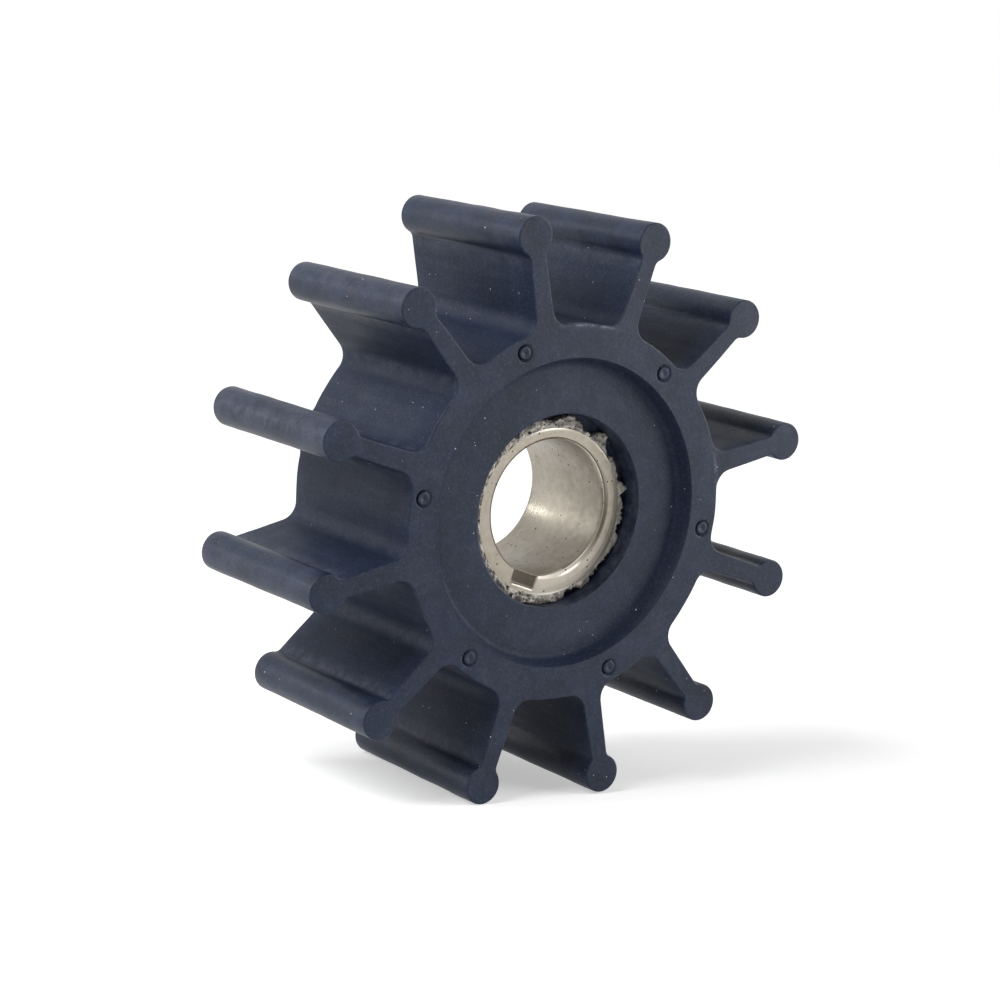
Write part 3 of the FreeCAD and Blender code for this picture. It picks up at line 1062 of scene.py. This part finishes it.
@dataclass
class DriveBushing:
    """Turned metal sleeve with a keyway along its bore."""

    bore_radius: float = 9.525
    outside_radius: float = 11.75
    off_centre: float = 0.68
    off_clock: float = 151.0
    key_clock: float = 196.4
    key_width: float = 3.96875
    keyway_floor: float = 11.275
    keyway_corner: float = 0.2
    keyway_lip: float = 0.3
    # How far the keyway's ends are rounded, in the middle of its floor, at its corner and at its sides
    keyway_flares: tuple[float, float, float] = (0.2, 0.3, 0.25)
    front: float = -9.6875
    rear: float = 7.7875
    land_radius: float = 11.325
    land_slope: float = 0.03
    bevel_radius: float = 9.75
    bevel_slope: float = 0.3
    bevel_offset: float = 0.55
    bevel_clock: float = 115.0
    bore_edge: float = 0.11
    outer_round: float = 0.14
    soft_edge: float = 0.05
    # Rows of the bore's rounded edge, of the end's face and of the rounded rim, and steps round the bore
    edge_rows: int = 6
    face_rows: int = 42
    rim_rows: int = 8
    bore_steps: int = 160
    # Brown stains: over the land's edge and the bevel on the right, at the bevel's edge and at the bore's
    stains: tuple[RingMark, ...] = (
        RingMark(11.325, 0.07, 112.0, 62.0, 0.5, power_along=2),
        RingMark(9.95, 0.28, 104.0, 30.0, 0.7, power_across=4, power_along=2),
        RingMark(9.76, 0.07, 35.0, 48.0),
        RingMark(9.645, 0.11, 280.0, 95.0),
    )
    # Painted highlights: the bore's edge on the right and at the lower right, and the bevel at the lower
    # right
    edge_highlights: tuple[RingMark, ...] = (
        RingMark(9.555, 0.06, 42.0, 32.0),
        RingMark(9.555, 0.06, 155.0, 25.0),
        RingMark(10.08, 0.15, 151.0, 10.0),
    )
    # Painted highlights on the rim, round the bushing's own centre: at the top, the bottom and the right
    rim_highlights: tuple[RingMark, ...] = (
        RingMark(11.57, 0.16, 355.0, 13.0, 0.9, power_along=2),
        RingMark(11.57, 0.16, 170.0, 13.0, 0.9, power_along=2),
        RingMark(11.57, 0.16, 48.0, 12.0, 0.5, power_along=2),
    )
    finish: TurnedNickel = TurnedNickel()

    def from_key(self, clock: float, distance: float) -> np.ndarray:
        """Place along and across the key of a point at a clock angle and a distance from the shaft."""
        turn = math.radians(clock - self.key_clock)
        return distance * np.array((math.cos(turn), math.sin(turn)))

    def bore_outline(self) -> tuple[np.ndarray, np.ndarray, np.ndarray, np.ndarray]:
        """Outline of the bore and its keyway, along the key and across it.

        It starts in the middle of the keyway's floor and goes round by the floor, its rounded corner, the
        side, the rounded lip and the bore's circle. The lip's arc touches the side and the circle: its
        centre lies half the key's width plus its radius across, and one radius outside the circle.

        Returns:
            The points, their unit normals into the metal, how far each is rounded at the two ends, and the
            angle from the key at which its radial line meets the bushing's outside.
        """
        half, corner, lip = self.key_width / 2, self.keyway_corner, self.keyway_lip
        across = np.linspace(0, half - corner, 7)
        floor = np.stack((np.full_like(across, self.keyway_floor), across), axis=-1)
        inner, inner_way = arc(
            np.array((self.keyway_floor - corner, half - corner)), floor[-1],
            np.array((self.keyway_floor - corner, half)), 4,
        )
        centre = np.array((math.sqrt((self.bore_radius + lip) ** 2 - (half + lip) ** 2), half + lip))
        along = np.linspace(inner[-1, 0], centre[0], 9)
        side = np.stack((along, np.full_like(along, half)), axis=-1)
        mouth, mouth_way = arc(centre, side[-1], centre * self.bore_radius / (self.bore_radius + lip), 6)
        opposite = np.array((-self.bore_radius, 1e-9))
        around, around_way = arc(np.zeros(2), mouth[-1], opposite, self.bore_steps)
        parts = (floor, inner[1:], side[1:-1], mouth, around[1:])
        ways = (
            np.tile((1.0, 0.0), (len(floor), 1)), inner_way[1:], np.tile((0.0, 1.0), (len(side) - 2, 1)),
            -mouth_way, around_way[1:],
        )
        points, normals = np.concatenate(parts), np.concatenate(ways)
        index = np.arange(len(points))
        corners = np.cumsum([len(part) for part in parts])
        ease = np.interp(
            index, (0, corners[0], corners[1], corners[2] - 1, corners[3]),
            (*self.keyway_flares, 0.9 * lip, self.bore_edge),
        )
        spoke = np.interp(index, (0, corners[1], corners[3], len(points) - 1), (0.0, 9.5, 17.0, 180.0))

        def both_sides(values: np.ndarray, *hand: float) -> np.ndarray:
            """The values, and then those of the other side in reverse, times the hand."""
            return np.concatenate((values, (values * np.array(hand))[-2:0:-1]))

        points, normals = both_sides(points, 1.0, -1.0), both_sides(normals, 1.0, -1.0)
        return points, normals, both_sides(ease, 1.0), both_sides(spoke, -1.0)

    def placed(self, flat: np.ndarray, y: np.ndarray) -> np.ndarray:
        """Turns points along and across the key to the keyway's clock angle, at places y on the shaft."""
        x, z = off_line(flat[..., 0], flat[..., 1], np.float64(self.key_clock))
        return np.stack(np.broadcast_arrays(x, y, z), axis=-1)

    def end_relief(self, flat: np.ndarray) -> np.ndarray:
        """Depth of an end below its land, from the bore's bevel and from the fall beyond the land.

        Each is a slope times the distance d past its edge, with the bend softened to half the sum of d
        and the root of (d squared plus the softening squared).

        Args:
            flat: Points along and across the key.

        Returns:
            One depth for each point.
        """
        bevel_centre = self.from_key(self.bevel_clock, self.bevel_offset)
        inside = self.bevel_radius - np.linalg.norm(flat - bevel_centre, axis=-1)
        beyond = np.linalg.norm(flat, axis=-1) - self.land_radius
        inside, beyond = ((d + np.sqrt(d ** 2 + self.soft_edge ** 2)) / 2 for d in (inside, beyond))
        return self.bevel_slope * inside + self.land_slope * beyond

    def end_rows(self, y: float, way: int) -> list[np.ndarray]:
        """Rows of one end from its rounded bore edge to its rounded outer edge.

        A rounding of radius e at the angle a is e times (1 less cosine a) off the wall and e times (1 less
        sine a) below the face.

        Args:
            y: Place of the end on the shaft.
            way: 1 where the metal lies towards +Y, and -1 where it lies towards -Y.

        Returns:
            One row of points for each step outwards.
        """
        inner, into, ease, spoke = self.bore_outline()
        centre = self.from_key(self.off_clock, self.off_centre)
        outward = np.stack((np.cos(np.radians(spoke)), np.sin(np.radians(spoke))), axis=-1)
        rows: list[np.ndarray] = []
        for angle in np.linspace(0, np.pi / 2, self.edge_rows):
            flat = inner + into * (ease * (1 - math.cos(angle)))[:, None]
            depth = self.end_relief(flat) + ease * (1 - math.sin(angle))
            rows.append(self.placed(flat, y + way * depth))
        edge = inner + into * ease[:, None]
        brim = centre + outward * (self.outside_radius - self.outer_round)
        for t in np.linspace(0, 1, self.face_rows)[1:-1]:
            flat = edge + (brim - edge) * t
            rows.append(self.placed(flat, y + way * self.end_relief(flat)))
        for angle in np.linspace(0, np.pi / 2, self.rim_rows):
            flat = centre + outward * (self.outside_radius - self.outer_round * (1 - math.sin(angle)))
            depth = self.end_relief(flat) + self.outer_round * (1 - math.cos(angle))
            rows.append(self.placed(flat, y + way * depth))
        return rows

    def tarnish(self, points: np.ndarray) -> np.ndarray:
        """How dark the front end is stained: thinly all over, and more where the stains lie.

        Args:
            points: Points with x, y and z in the last axis.

        Returns:
            One amount from 0 to 1 for each point.
        """
        clock, radius = clock_and_radius(points)
        stained = 0.15 + sum(stain.amount(clock, radius) for stain in self.stains)
        return np.clip(stained, 0, 1) * (points[:, 1] < self.front + 0.5)

    def painted_highlight(self, points: np.ndarray) -> np.ndarray:
        """How strongly the painted highlights show.

        They lie at the front end's highlight marks, with an even part at the lower right of the front end,
        and the keyway has an even part of painted light too.

        Args:
            points: Points with x, y and z in the last axis.

        Returns:
            One amount from 0 to 1 for each point.
        """
        clock, radius = clock_and_radius(points)
        centre = on_clock(np.float64(self.off_clock), self.off_centre, 0.0)
        _, reach = clock_and_radius(points - centre)
        highlighted = sum(glint.amount(clock, radius) for glint in self.edge_highlights)
        highlighted = highlighted + sum(glint.amount(clock, reach) for glint in self.rim_highlights)
        # An even painted highlight over the lower right of the front end
        highlighted = highlighted + 0.12 * bell(clock, 160, 38, 4)
        # Painted light on the keyway's walls
        key = math.radians(self.key_clock)
        across = points[:, 0] * math.cos(key) - points[:, 2] * math.sin(key)
        slot = (bell(clock, self.key_clock, 30, 8) > 0.5) * (np.abs(across) < self.key_width / 2 + 0.02)
        slot = 0.2 * slot * (radius > self.bore_radius + 0.3) * (radius < self.keyway_floor + 0.3)
        return np.clip(highlighted * (points[:, 1] < self.front + 0.3) + slot, 0, 1)

    def build(self) -> bpy.types.Object:
        """Builds the sleeve as one ring of rows and dresses it in metal.

        The rows go from the bore across the front end, along the outside, across the rear end and back
        through the bore.

        Returns:
            The finished piece.
        """
        inner = self.bore_outline()[0]
        front, rear = self.end_rows(self.front, 1), self.end_rows(self.rear, -1)
        inside = [self.placed(inner, y) for y in np.linspace(self.rear - 1.0, self.front + 1.0, 14)]
        skin = Skin()
        skin.add(np.stack(front + rear[::-1] + inside + front[:1]), closed=True)
        piece = skin.piece("turned_bushing", 40.0)
        marked(piece, "tarnish", self.tarnish)
        marked(piece, "painted_highlight", self.painted_highlight)
        return dress(piece, self.finish, "drive_bushing")


@dataclass
class BondCrust:
    """Ragged crust of bonding compound round the bushing's front end."""

    sleeve: DriveBushing = field(default_factory=DriveBushing)
    inner_radius: float = 11.77
    well_radius: float = 13.5
    well_offset: float = 0.52
    well_clock: float = 162.6
    floor: float = -8.2875
    top: float = -9.6
    spread: float = 0.3
    columns: int = 1080
    top_rows: int = 22
    # Place where the crust doesn't lap over the bushing's edge: clock angle and half width
    gap: tuple[float, float] = (43.0, 8.0)
    lap_angle: float = 75.0
    # Lumps of the edge: clock angle, height and half width
    lumps: tuple[tuple[float, float, float], ...] = (
        (285, 0.5, 62), (105, 0.3, 48), (345, 0.5, 14), (6, 1.2, 6), (15, 0.8, 6), (38, 1.4, 6), (57, 0.3, 8),
        (75, 1.2, 4), (92, 0.3, 9), (109, 0.9, 4), (124, 0.2, 8), (144, 1.0, 4.5), (172, 1.2, 11),
        (195, 1.2, 14), (222, 0.5, 16),
    )
    # Unevenness of the edge and of the top: height, wavelength and seed
    ragged: tuple[tuple[float, float, int], ...] = ((0.12, 2.4, 11), (0.11, 0.8, 12), (0.06, 0.35, 15))
    bumps: tuple[tuple[float, float, int], ...] = ((0.14, 1.4, 13), (0.06, 0.6, 14), (0.03, 0.3, 16))
    top_limit: float = -9.9
    # The smooth side's clock angle and half width, and how far the patterns are drawn out round the axis
    smooth_side: tuple[float, float] = (105.0, 52.0)
    drawn_out_by: float = 2.2
    finish: BondingCompound = BondingCompound()

    def reach(self, clock: np.ndarray) -> np.ndarray:
        """Radius of the ragged edge from the bushing's own centre.

        It is the bushing's radius plus the crust's spread, a bell for each lump and three sizes of
        unevenness, and it stops a little short of the well's wall.

        Args:
            clock: Clock angles in degrees.

        Returns:
            One radius for each angle.
        """
        place = on_clock(clock, self.inner_radius, 0.0)
        ragged = sum(height * unevenness(place, length, seed) for height, length, seed in self.ragged)
        for at, height, half_width in self.lumps:
            ragged = ragged + height * bell(clock, at, half_width, 4)
        wall = self.well_radius - self.well_offset * np.cos(np.radians(clock - self.well_clock)) - 0.06
        return np.clip(self.inner_radius + self.spread + ragged, self.inner_radius + 0.1, wall)

    def pitted(self, points: np.ndarray) -> np.ndarray:
        """How rough and full of holes the crust is: one but for its smooth side, where it is 0.25."""
        clock, _ = clock_and_radius(points)
        return 1 - 0.75 * np.clip(1.6 * bell(clock, *self.smooth_side), 0, 1)

    def drawn_out(self, points: np.ndarray) -> np.ndarray:
        """Places in the crust's patterns: the distance from the axis, the shortened way round, and y."""
        clock, radius = clock_and_radius(points)
        way = self.inner_radius * np.radians(clock) / self.drawn_out_by
        return np.stack((radius, way, points[:, 1]), axis=-1)

    def build(self) -> bpy.types.Object:
        """Builds the crust as a ring of rows and dresses it in dried compound.

        The rows rise beside the bushing and lap over its rounded edge, cross the bumpy top to the ragged
        edge, fall to the well's floor and come back under it. The lap is an arc just clear of the rounding,
        of up to the lap's angle, and is left out at one gap. The top's height is the crust's level plus three
        sizes of unevenness: it starts from the lap as one less the eighth power of the way left, and drops
        towards the edge as the fourth power of the way across.

        Returns:
            The finished piece.
        """
        clock = np.linspace(0, 360, self.columns, endpoint=False)
        edge = self.reach(clock)
        lap = 1 - bell(clock, *self.gap, 4)
        sleeve = self.sleeve
        shift = on_clock(np.float64(sleeve.off_clock), sleeve.off_centre, 0.0)
        _, out = clock_and_radius(on_clock(clock, sleeve.outside_radius, 0.0) + shift)
        rim = sleeve.front + sleeve.land_slope * np.maximum(out - sleeve.land_radius, 0) + sleeve.outer_round
        rows = [on_clock(clock, self.inner_radius, y) for y in (self.floor, self.top + 0.6)]
        around = sleeve.outer_round + self.inner_radius - sleeve.outside_radius
        for part in np.linspace(0, 1, 4):
            turn = np.radians(self.lap_angle * lap * part)
            inwards = self.inner_radius - around * (1 - np.cos(turn))
            rows.append(on_clock(clock, inwards, rim - around * np.sin(turn)))
        _, start = clock_and_radius(rows[-1])
        start_y = rows[-1][..., 1]
        for t in np.linspace(0.03, 1, self.top_rows):
            row = on_clock(clock, start + (edge - start) * t, self.top - 0.06 * lap)
            bumps = sum(height * unevenness(row, length, seed) for height, length, seed in self.bumps)
            level = row[..., 1] - bumps * self.pitted(row) + 0.3 * t ** 4
            level = np.clip(level, self.top_limit, self.floor - 0.25)
            row[..., 1] = start_y + (level - start_y) * (1 - (1 - t) ** 8)
            rows.append(row)
        rows.append(on_clock(clock, edge + 0.03, self.floor - 0.12))
        rows.append(on_clock(clock, edge, self.floor))
        rows.append(rows[0])
        skin = Skin()
        skin.add(np.stack(rows) + shift, closed=True)
        piece = skin.piece("compound_crust", 60.0)
        marked(piece, "pitted", self.pitted)
        marked(piece, "drawn_out", self.drawn_out)
        return dress(piece, self.finish, "bond_flash")


# The studio


@dataclass
class Studio:
    """Pale floor, soft light and a camera at the photograph's viewing angle."""

    azimuth: float = -35.917
    elevation: float = 9.086
    roll: float = 5.696
    aim: tuple[float, float] = (1.0897, 0.7425)
    distance: float = 386.18
    lens: float = 99.636
    floor_z: float = -40.045
    floor_size: float = 6000.0
    floor_white: str = "#e8e8e8"
    # What the floor adds of itself where the camera sees it, near the impeller and far off, and from
    # where to where, and what mirrors see of that
    near_glow: float = 0.45
    far_glow: float = 0.9
    glow_from: float = 120.0
    glow_to: float = 1100.0
    mirrored_glow: float = 0.45
    ambient: float = 0.15
    # Lamps: name, place, side and power in watts
    lamps: tuple[tuple[str, tuple[float, float, float], float, float], ...] = (
        ("left_softbox", (-495, 0, 495), 450, 4.8),
        ("right_softbox", (593, -342, 146), 500, 4.8),
        ("rear_softbox", (-593, 342, 146), 500, 1.9),
        ("rear_strip", (-388, 554, 181), 70, 0.14),
    )

    def camera(self) -> bpy.types.Object:
        """Places the camera.

        It looks back along the line of azimuth and elevation, is turned about that line by the roll, and
        is moved sideways and up so that the shaft's middle lands where the photograph has it.
        """
        a, e, r = (math.radians(v) for v in (self.azimuth, self.elevation, self.roll))
        back = Vector((math.sin(a) * math.cos(e), -math.cos(a) * math.cos(e), math.sin(e)))
        level = Vector((math.cos(a), math.sin(a), 0.0))
        above = back.cross(level)
        right = math.cos(r) * level + math.sin(r) * above
        up = -math.sin(r) * level + math.cos(r) * above
        place = (back * self.distance - right * self.aim[0] - up * self.aim[1]) * MM
        data = bpy.data.cameras.new("camera")
        data.lens, data.sensor_width = self.lens, 36.0
        data.clip_start, data.clip_end = 0.01, 50.0
        camera = bpy.data.objects.new("camera", data)
        turn = Matrix((right, up, back)).transposed().to_4x4()
        camera.matrix_world = Matrix.Translation(place) @ turn
        bpy.context.scene.collection.objects.link(camera)
        bpy.context.scene.camera = camera
        return camera

    def floor(self) -> bpy.types.Object:
        """Lays the pale floor that the impeller stands on and that keeps its shadow."""
        half, z = self.floor_size / 2 * MM, self.floor_z * MM
        corners = [(-half, -half, z), (half, -half, z), (half, half, z), (-half, half, z)]
        mesh = bpy.data.meshes.new("floor")
        mesh.from_pydata(corners, [], [(0, 1, 2, 3)])
        floor = bpy.data.objects.new("floor", mesh)
        bpy.context.scene.collection.objects.link(floor)
        made = bpy.data.materials.new("matt_white_table")
        made.use_nodes = True
        tree = made.node_tree
        tree.nodes.clear()
        seen = self.seen_directly(tree)
        matt = node(tree, "BsdfDiffuse", values={"Color": linear(self.floor_white)})
        place = node(tree, "TexCoord").outputs["Object"]
        far = node(tree, "VectorMath", {"operation": "LENGTH"}, links={0: place}).outputs["Value"]
        whiter = node(
            tree, "MapRange", {"interpolation_type": "SMOOTHSTEP"},
            {"From Min": self.glow_from * MM, "From Max": self.glow_to * MM, "To Min": self.near_glow,
             "To Max": self.far_glow}, {"Value": far},
        ).outputs["Result"]
        shown = node(tree, "Math", {"operation": "MULTIPLY"}, {1: self.mirrored_glow}, {0: seen})
        camera = node(tree, "LightPath").outputs["Is Camera Ray"]
        lift = node(
            tree, "Mix", {"data_type": "FLOAT"}, links={0: camera, 2: shown.outputs["Value"], 3: whiter}
        )
        glow = node(tree, "Emission", values={"Color": (1, 1, 1, 1)}, links={"Strength": lift.outputs[0]})
        both = node(tree, "AddShader", links={0: matt.outputs["BSDF"], 1: glow.outputs["Emission"]})
        node(tree, "OutputMaterial", links={"Surface": both.outputs["Shader"]})
        mesh.materials.append(made)
        return floor

    def seen_directly(self, tree: bpy.types.NodeTree) -> bpy.types.NodeSocket:
        """One for camera, glossy and transmission rays, and zero for the rest."""
        path = node(tree, "LightPath")
        first = node(
            tree, "Math", {"operation": "MAXIMUM"},
            links={0: path.outputs["Is Camera Ray"], 1: path.outputs["Is Glossy Ray"]},
        )
        return node(
            tree, "Math", {"operation": "MAXIMUM"},
            links={0: first.outputs["Value"], 1: path.outputs["Is Transmission Ray"]},
        ).outputs["Value"]

    def surroundings(self) -> None:
        """White surroundings to look at, and a plain even light from them on the object."""
        world = bpy.data.worlds.new("white_room")
        bpy.context.scene.world = world
        world.use_nodes = True
        tree = world.node_tree
        tree.nodes.clear()
        seen = self.seen_directly(tree)
        strength = node(tree, "MapRange", {}, {"To Min": self.ambient, "To Max": 1.0}, {"Value": seen})
        back = node(
            tree, "Background", values={"Color": (1, 1, 1, 1)}, links={"Strength": strength.outputs["Result"]}
        )
        node(tree, "OutputWorld", links={"Surface": back.outputs["Background"]})

    def lamp(self, name: str, place: tuple[float, float, float], size: float, power: float) -> None:
        """Hangs one square soft box that faces the impeller.

        Args:
            name: Name of the lamp.
            place: Its place in millimetres.
            size: Its side in millimetres.
            power: Its power in watts.
        """
        data = bpy.data.lights.new(name, "AREA")
        data.shape, data.size, data.energy = "SQUARE", size * MM, power
        lamp = bpy.data.objects.new(name, data)
        lamp.location = Vector(place) * MM
        lamp.rotation_euler = (-lamp.location).to_track_quat("-Z", "Y").to_euler()
        bpy.context.scene.collection.objects.link(lamp)

    def build(self) -> None:
        """Sets up the camera, floor, surroundings and lamps."""
        self.camera()
        self.floor()
        self.surroundings()
        for lamp in self.lamps:
            self.lamp(*lamp)
        bpy.context.scene.view_settings.view_transform = "Standard"


def main() -> None:
    """Builds the studio and the pieces in order, and reports each one."""
    logging.basicConfig(level=logging.INFO, format="%(name)s: %(message)s")
    Studio().build()
    for maker in (ImpellerBody(), DriveBushing(), BondCrust()):
        made = maker.build()
        log.info("built %s", made.name)
    bpy.context.view_layer.update()


if __name__ == "__main__":
    main()
